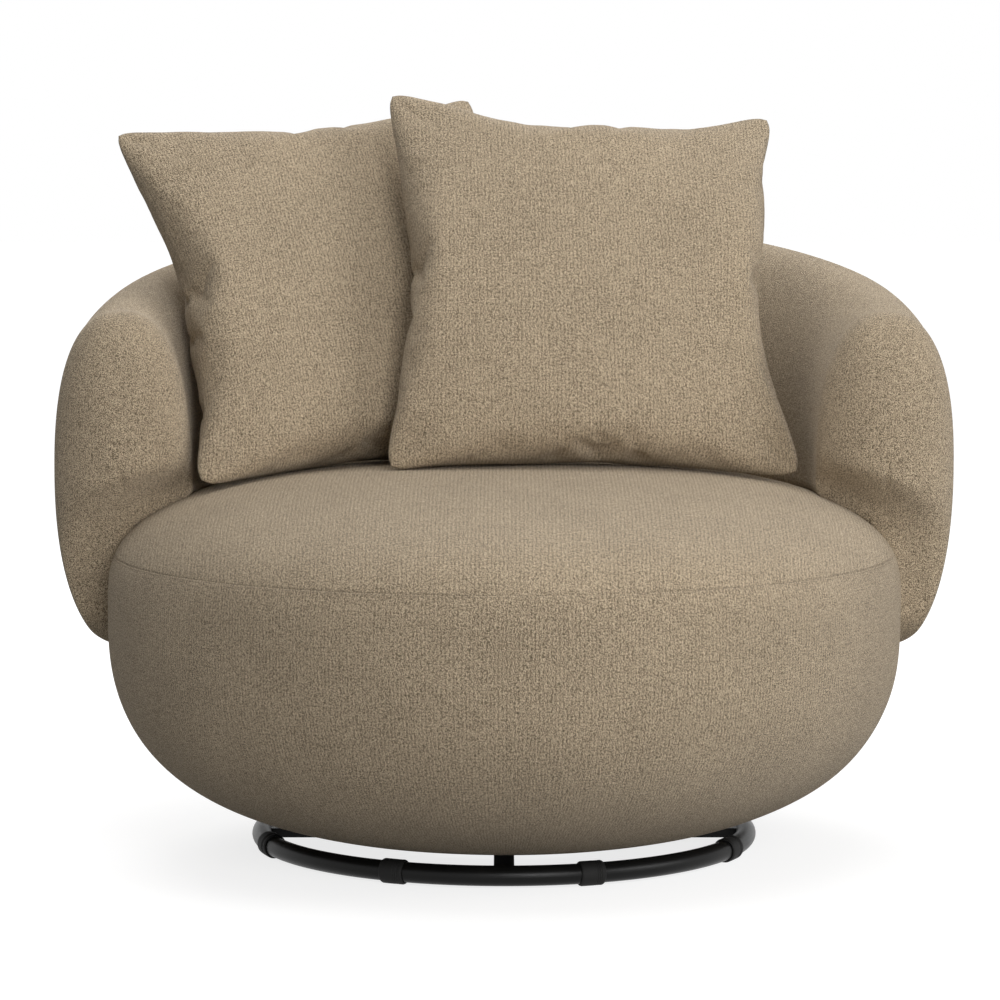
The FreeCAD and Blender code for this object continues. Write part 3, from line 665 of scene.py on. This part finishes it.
def back_surface():
    """Superelliptic section swept round the horseshoe from the right nose's tip to the left
    one's: each station's section spans the wall's thickness and its height, and shrinks to
    a tip along both noses. The weave runs round the wall by length, and over the noses as
    seen from the front. Gives the points, the weave, the distance from the seam along the
    outer edge, and where the ribs fade: on the noses and towards their top and bottom."""
    tip = np.sin(np.radians(np.linspace(0, 87.5, 30)))[1:]
    arc = np.linspace(arm_end, np.pi - arm_end, 190)
    angle = np.r_[np.full(tip.size, arc[0]), arc, np.full(tip.size, arc[-1])][:, None]
    ahead = np.r_[tip[::-1], 0 * arc, -tip][:, None]
    step = np.abs(ahead)
    t = np.linspace(0, 2 * np.pi, 181)[:-1] - 0.5 * np.pi
    cos_t, sin_t = np.cos(t), np.sin(t)
    fullness = np.where(sin_t >= 0, back_fullness_above, back_fullness_below)
    across = np.sign(cos_t) * np.abs(cos_t) ** (2 / fullness)
    along = np.sign(sin_t) * np.abs(sin_t) ** (2 / fullness)
    rearward = np.maximum(np.sin(angle), 0)
    top = arm_top + (back_top - arm_top) * rearward
    width = np.sqrt(1 - step ** 2)
    tall = (1 - step ** back_fullness_above) ** (1 / back_fullness_above)
    offset = back_half * width * across
    reach_up = np.where(sin_t >= 0, top - back_widest, back_widest - back_lowest) * tall
    height = back_widest + reach_up * along
    uneven = 0.0008 * np.sin(7 * angle + 3 * t) + 0.0006 * np.sin(13 * angle - 2 * t)
    radius = back_middle + offset + (height - back_widest) * back_lean * rearward
    radius = radius + uneven * width * np.sign(offset)
    x = (radius * np.cos(angle) + np.sin(angle) * ahead * nose_reach) * drawn_narrower
    y = radius * np.sin(angle) - np.cos(angle) * ahead * nose_reach + seat_axis_y
    points = outside_drum(np.stack([x, y, height], axis=2))
    lengths = np.linalg.norm(np.diff(points, axis=1, append=points[:, :1]), axis=2)
    section = np.cumsum(lengths, axis=1)
    section = np.minimum(section, section[:, -1:] - section)
    face = back_half * np.arcsin(np.clip(np.abs(offset) / back_half, 0, 1))
    from_end = np.minimum(angle - arm_end, np.pi - arm_end - angle)
    wall = back_half * np.pi / 2 + back_middle * from_end
    nose = np.clip(2 * step, 0, 1)
    run = wall + (face - wall) * eased(nose)
    up = section + (height - back_lowest - section) * eased(nose)
    cloth = np.stack([run, up, 3 * offset], axis=2)
    crest = np.clip(1.6 * np.abs(height - back_widest) / (top - back_widest) - 0.7, 0, 1)
    plain = np.clip(0.5 * nose + 4 * nose * (1 - nose) + nose * crest, 0, 1)
    return points, cloth, offset - seam_offset, plain


def keep_points(piece, name, values):
    """Keeps a value or a vector for each point of a grid, each pole taking its ring's mean."""
    poles = [np.reshape(ring.mean(axis=0), (1, -1)) for ring in (values[0], values[-1])]
    flat = np.vstack([values.reshape(-1, poles[0].size), *poles])
    wide = poles[0].size == 3
    layer = piece.data.attributes.new(name, "FLOAT_VECTOR" if wide else "FLOAT", "POINT")
    layer.data.foreach_set("vector" if wide else "value", flat.astype("f").ravel())


points, cloth, seam, plain = back_surface()
tips = [points[end].mean(axis=0) + [0, -0.0001, 0] for end in (0, -1)]
back_pad = skin("back_pad", points, None, seam, poles=tips)
keep_points(back_pad, "cloth", cloth)
keep_points(back_pad, "plain", plain)
back_pad.data.materials.append(oat)
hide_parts("back_cover_inside", "back_cover_outside", "back_foam_inside",
            "back_foam_outside")
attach(back_pad, "seat")


# Scatter cushions: two squares of the same cloth sewn edge to edge round a fibre filling.
# The filling crowns them and draws their sides in, so the corners stand out as ears, and
# the cloth gathers along the seam. They lean loose against the back.

cushion_half = 0.250
cut_half = 0.260
first_crown = 0.046
most_travel = 0.042
corner_share = 0.981
cushion_cells = 96


def sewn_square(name):
    """Two sheets over one square grid, u and v from -1 to 1, sewn together at the rim: each
    stands off by a crown times the square root of (1 - u * u) * (1 - v * v). The corners are
    rounded by drawing the grid's squares in to the curves |x|^30 + |y|^30 = a constant. The
    weaves of the two lie apart in depth, so they differ."""
    line = np.linspace(-1, 1, cushion_cells + 1)
    u, v = np.meshgrid(line, line, indexing="ij")
    bulge = first_crown * np.sqrt((1 - u ** 2) * (1 - v ** 2))
    largest = np.maximum(np.maximum(np.abs(u), np.abs(v)), 1e-6)
    smallest = np.minimum(np.abs(u), np.abs(v))
    reach = cut_half / (1 + (smallest / largest) ** 30) ** (1 / 30)
    front = np.stack([u * reach, v * reach, -bulge], axis=2).reshape(-1, 3)
    inside = ((np.abs(u) < 1) & (np.abs(v) < 1)).ravel()
    sheet_front = np.arange(inside.size)
    sheet_back = sheet_front.copy()
    sheet_back[inside] = inside.size + np.arange(inside.sum())
    points = np.vstack([front, front[inside] * [1, 1, -1]])
    faces = []
    for sheet, turn in ((sheet_front, -1), (sheet_back, 1)):
        g = sheet.reshape(u.shape)
        around_cell = [g[:-1, :-1], g[1:, :-1], g[1:, 1:], g[:-1, 1:]][::turn]
        faces += np.stack(around_cell, axis=2).reshape(-1, 4).tolist()
    mesh = bpy.data.meshes.new(name)
    mesh.from_pydata(points.tolist(), [], faces)
    weave = points.copy()
    weave[:, 2] = np.sign(points[:, 2]) * 0.1
    mesh.attributes.new("cloth", "FLOAT_VECTOR", "POINT").data.foreach_set(
        "vector", weave.astype("f").ravel())
    rim = (cut_half * (1 - largest)).ravel()
    rim = np.concatenate([rim, rim[inside]])
    mesh.attributes.new("seam", "FLOAT", "POINT").data.foreach_set("value", rim.astype("f"))
    piece = bpy.data.objects.new(name, mesh)
    bpy.context.scene.collection.objects.link(piece)
    return piece


def baked(piece):
    """The mesh of a piece with its modifiers, as plain points and faces."""
    graph = bpy.context.evaluated_depsgraph_get()
    done = bpy.data.meshes.new_from_object(piece.evaluated_get(graph))
    piece.modifiers.clear()
    old, piece.data = piece.data, done
    bpy.data.meshes.remove(old)


def mesh_points(mesh):
    """The points of a mesh, one to a row."""
    flat = np.empty(len(mesh.vertices) * 3, dtype="f")
    mesh.vertices.foreach_get("co", flat)
    return flat.reshape(-1, 3).astype(float)


def pressed(points):
    """Evens out the front sheet along its lower side, where the cushion is pressed on the
    seat: each row becomes its running mean, in full at the edge and less up to 50 mm."""
    count = cushion_cells + 1
    sheet = points[:count * count].reshape(count, count, 3)
    wide = np.pad(sheet, ((12, 12), (0, 0), (0, 0)), mode="reflect", reflect_type="odd")
    weights = np.hanning(27)[1:-1] / np.hanning(27)[1:-1].sum()
    even = np.lib.stride_tricks.sliding_window_view(wide, 25, axis=0) @ weights
    line = np.linspace(-1, 1, count)
    inside_corners = np.clip((0.92 - np.abs(line)) / 0.12, 0, 1)
    share = inside_corners[:, None] * eased((-0.60 - line) / 0.28)
    sheet += (even - sheet) * share[:, :, None]


def stuffed(piece):
    """Fills the sewn cover by cloth simulation: air pressure swells it, which draws its sides
    in and puckers them, and no point goes further from its start than most_travel. Its size
    is then set by its corners and its mesh made finer."""
    start = mesh_points(piece.data)
    cloth = piece.modifiers.new("filling", "CLOTH")
    cloth.settings.use_pressure = True
    cloth.settings.uniform_pressure_force = 2.7
    cloth.settings.effector_weights.gravity = 0.0
    cloth.settings.quality = 6
    cloth.settings.shear_stiffness = 5.0
    cloth.settings.bending_stiffness = 0.2
    cloth.collision_settings.use_collision = False
    for step in range(1, 21):
        bpy.context.scene.frame_set(step)
    baked(piece)
    bpy.context.scene.frame_set(1)
    travel = mesh_points(piece.data) - start
    length = np.linalg.norm(travel, axis=1, keepdims=True)
    moved = start + travel * np.minimum(1, most_travel / np.maximum(length, 1e-9))
    pressed(moved)
    corner = np.abs(moved[:, 0] * moved[:, 1]).max() ** 0.5
    moved *= corner_share * cushion_half / corner
    piece.data.vertices.foreach_set("co", moved.astype("f").ravel())
    smooth = piece.modifiers.new("smooth", "SUBSURF")
    smooth.levels = smooth.render_levels = 1
    baked(piece)


def standing(lean, yaw, roll):
    """Turn by roll in its own plane, stand up with a lean, then yaw on the seat."""
    def about_up(degrees):
        """Turn about the upright axis."""
        a = math.radians(degrees)
        return np.array([[math.cos(a), -math.sin(a), 0], [math.sin(a), math.cos(a), 0], [0, 0, 1]])

    a = math.radians(90 - lean)
    tip = np.array([[1, 0, 0], [0, math.cos(a), -math.sin(a)], [0, math.sin(a), math.cos(a)]])
    return about_up(yaw) @ tip @ about_up(roll)


def crown_level(x, y):
    """Height of the seat's crown under a point."""
    share = np.clip(np.hypot(x, y - seat_axis_y) / seat_radius, 0, 1)
    rise = (1 - share ** seat_fullness_above) ** (1 / seat_fullness_above)
    return seat_widest + (seat_crest - seat_widest) * rise


def gathers(local, phase):
    """Small pleats along the seam: they stand across it and die out 60 mm from it. Their
    waves start at the phase, in radians."""
    u, v, w = local.T
    edge = cushion_half - np.maximum(np.abs(u), np.abs(v))
    along = np.where(np.abs(u) > np.abs(v), v, u)
    fade = np.exp(-np.maximum(edge - 0.02, 0) / 0.03) * np.clip((edge - 0.004) / 0.02, 0, 1)
    pleats = 0.0010 * np.sin(along * 118 + phase + 2.2 * np.sin(along * 31 + phase))
    return np.sign(w) * (pleats + 0.0008 * np.sin(along * 71 - 2 * phase)) * fade


def crease(local, start, end, width, depth):
    """A fold in the front sheet along a line: a furrow with a soft ridge on either side."""
    start, end = np.array(start), np.array(end)
    line = end - start
    share = ((local[:, :2] - start) @ line) / (line @ line)
    near = start + np.clip(share, 0, 1)[:, None] * line
    gap = np.linalg.norm(local[:, :2] - near, axis=1) / width
    ends = np.sin(np.pi * np.clip(share, 0.02, 0.98)) ** 0.6
    shape = np.exp(-gap ** 2) - 0.45 * np.exp(-(gap - 1.9) ** 2 / 1.2)
    return np.where(local[:, 2] < 0, depth * shape * ends, 0)


def to_corners(local, shifts):
    """Bilinear shift in the cushion's plane: lower left, lower right, upper left, upper
    right, each as (across, up) in metres."""
    u, v = (local[:, :2] / cushion_half).T
    for (across, up), side, rise in zip(shifts, (-1, 1, -1, 1), (-1, -1, 1, 1)):
        share = (1 + side * u) / 2 * (1 + rise * v) / 2
        local[:, 0] += across * share
        local[:, 1] += up * share


def pulled(local, pulls):
    """Draws the sides in where the filling is slack: each pull is an axis, its side -1 or 1,
    the place along that side from -1 to 1, a width and a depth in metres."""
    share = local[:, :2] / cushion_half
    for axis, side, place, width, depth in pulls:
        along = np.exp(-((share[:, 1 - axis] - place) / width) ** 2)
        along = along * np.clip(1 - np.abs(share[:, 1 - axis]) ** 8, 0, 1)
        local[:, axis] -= side * depth * along * eased((side * share[:, axis] - 0.35) / 0.5)


def settled(local, world):
    """Lowers the cushion's lower edge on to the seat's crown by the room under it, 30 mm at
    most and less towards its corners, and holds every point above the crown."""
    edge = (np.abs(local[:, 2]) < 0.02) & (local[:, 1] < -0.19)
    bins = np.linspace(-0.25, 0.25, 26)
    gap = world[edge, 2] - crown_level(world[edge, 0], world[edge, 1])
    along = local[edge, 0]
    room = np.array([gap[np.abs(along - b) < 0.014].min(initial=0.03) for b in bins])
    room = np.convolve(np.pad(room, 2, mode="edge"), np.ones(5) / 5, mode="valid")
    drop = np.interp(local[:, 0], bins, np.clip(room - 0.0025, 0, 0.03))
    drop = drop * np.clip(1 - (np.abs(local[:, 0]) / cushion_half) ** 5, 0, 1)
    world[:, 2] -= drop * eased((-0.125 - local[:, 1]) / 0.11)
    over = crown_level(world[:, 0], world[:, 1]) + 0.0008 - world[:, 2]
    near = np.hypot(world[:, 0], world[:, 1] - seat_axis_y) < seat_radius
    world[:, 2] += np.where(near & (over > 0), over, 0)


def cushion(which, lean, yaw, roll, phase, shifts, pulls, creases):
    """One stuffed cushion, stood where its CAD solids are and settled on the seat. lean, yaw
    and roll are in degrees, and the rest is what the functions above take."""
    name = "cushion_" + which
    solids = [name + "_cover_front", name + "_cover_back", name + "_filling"]
    low = np.array([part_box(solid)[0] for solid in solids]).min(axis=0)
    high = np.array([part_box(solid)[1] for solid in solids]).max(axis=0)
    piece = sewn_square(name)
    stuffed(piece)
    local = mesh_points(piece.data)
    turn = standing(lean, yaw, roll)
    first = local @ turn.T
    middle = (low + high) / 2 - (first.min(axis=0) + first.max(axis=0)) / 2
    local[:, 2] += gathers(local, phase)
    for fold in creases:
        local[:, 2] += crease(local, *fold)
    pulled(local, pulls)
    to_corners(local, shifts)
    world = local @ turn.T + middle
    settled(local, world)
    piece.data.vertices.foreach_set("co", world.astype("f").ravel())
    piece.data.shade_smooth()
    piece.data.materials.append(oat)
    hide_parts(*solids)
    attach(piece, name)


cushion("left", 25.8, 26.0, 2.6, 0.4,
        [(0.0, 0.008), (0.0, 0.0), (-0.008, -0.006), (0.015, 0.024)],
        [(0, -1, 0.25, 0.42, 0.015), (0, -1, -0.55, 0.30, 0.013), (0, -1, 0.0, 1.1, 0.008),
         (1, 1, 0.1, 1.1, 0.006), (1, 1, 0.60, 0.28, 0.004)],
        [((-0.25, -0.150), (-0.16, -0.165), 0.012, 0.010)])
cushion("right", 22.5, 8.0, -1.9, 1.9,
        [(-0.014, 0.0), (0.016, 0.004), (-0.006, 0.014), (-0.003, -0.003)],
        [(1, 1, -0.35, 0.28, 0.012), (1, 1, 0.55, 0.32, 0.010), (1, 1, 0.0, 1.2, 0.008),
         (0, 1, -0.30, 0.40, 0.014), (0, 1, 0.0, 1.1, 0.002), (0, 1, 0.72, 0.2, 0.005),
         (0, -1, 0.2, 1.0, 0.003)],
        [((0.13, -0.14), (0.24, -0.235), 0.012, 0.006)])


# Lining under the seat: thin black felt, stapled to the underside of the base board and
# cut away round the swivel.

lining_radius = 0.1875
lining_hole = 0.1258


def felt(name):
    """Black felt: fibres in the colour and the bump, and a little sheen."""
    f = Finish(bpy.data.materials.new(name))
    fibres = f.noise(f.stretched(f.object_place(), (900.0, 500.0, 900.0)), 1.0, 4.0, 0.7)
    shade = f.blend(fibres, (0.007, 0.007, 0.007), (0.03, 0.03, 0.03))
    return f.finished({"Base Color": shade, "Roughness": 0.95, "Sheen Weight": 0.2,
                       "Normal": f.raised(fibres, 0.4, 0.0004)})


def lining_surface():
    """Flat ring between the swivel and the board's edge, both faces 0.8 mm apart, with
    a shallow sag between the staples. The hole is round the swivel, off the ring's middle."""
    a = np.linspace(0, 2 * np.pi, 180, endpoint=False)
    low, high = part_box("seat_dust_cover")
    share = np.linspace(0.0, 1.0, 9)[:, None]
    reach = lining_hole + (lining_radius - lining_hole) * share
    x, y = reach * np.cos(a), reach * np.sin(a) + seat_axis_y * share
    sag = 0.00015 * np.sin(np.pi * share) * (1 + np.sin(24 * a))
    top = np.stack([x, y, high[2] - 0.0001 + 0 * x], axis=2)
    bottom = np.stack([x, y, low[2] + 0.0003 - sag], axis=2)[::-1]
    return np.concatenate([top, bottom])


lining = skin("seat_lining", lining_surface(), wrap_rows=True)
lining.data.materials.append(felt("black_felt"))
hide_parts("seat_dust_cover")
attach(lining, "seat")
